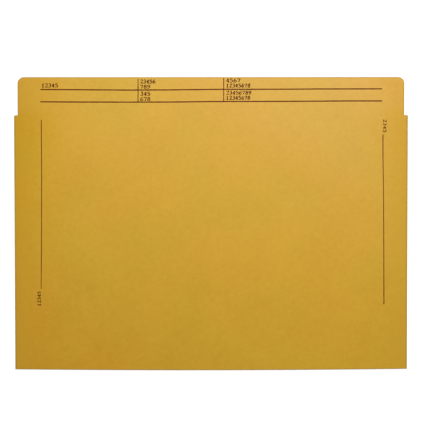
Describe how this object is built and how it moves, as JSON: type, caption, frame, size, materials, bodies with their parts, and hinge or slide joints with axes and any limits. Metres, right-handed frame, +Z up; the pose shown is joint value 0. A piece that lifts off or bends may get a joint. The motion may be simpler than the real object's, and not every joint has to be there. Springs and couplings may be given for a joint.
{
  "type": "file jacket",
  "caption": "Flat kraft card file jacket: a pocket closed by rolled folds and glued seam flaps, open at the mouth, where its ruled face rises above as a round-cornered tab.",
  "frame": {"origin": "under the middle of the jacket's outline, on the surface that the pocket panel lies on", "axes": "+X across the jacket from side fold to side fold, +Y from the bottom fold to the tab, +Z up out of the printed face"},
  "size_m": [0.2986, 0.2222, 0.0071],
  "materials": {
    "kraft_face": "matte machine-finished kraft card",
    "kraft_fold": "matte kraft card, worn a little at the crease",
    "kraft_inside": "matte kraft card",
    "dried_glue": "dull dried adhesive"
  },
  "bodies": {
    "pocket": {"pocket_panel": "kraft_face", "bottom_fold": "kraft_fold", "left_side_fold": "kraft_fold", "right_side_fold": "kraft_fold", "left_seam_flap": "kraft_inside", "right_seam_flap": "kraft_inside", "left_glue_line": "dried_glue", "right_glue_line": "dried_glue"},
    "face": {"face_panel": "kraft_face"}
  },
  "joints": [
    {"name": "mouth_opening", "type": "hinge", "parent": "pocket", "child": "face", "pos_m": [0, -0.1104, 0.0007], "axis": [1, 0, 0], "range_deg": [0, 5]}
  ]
}
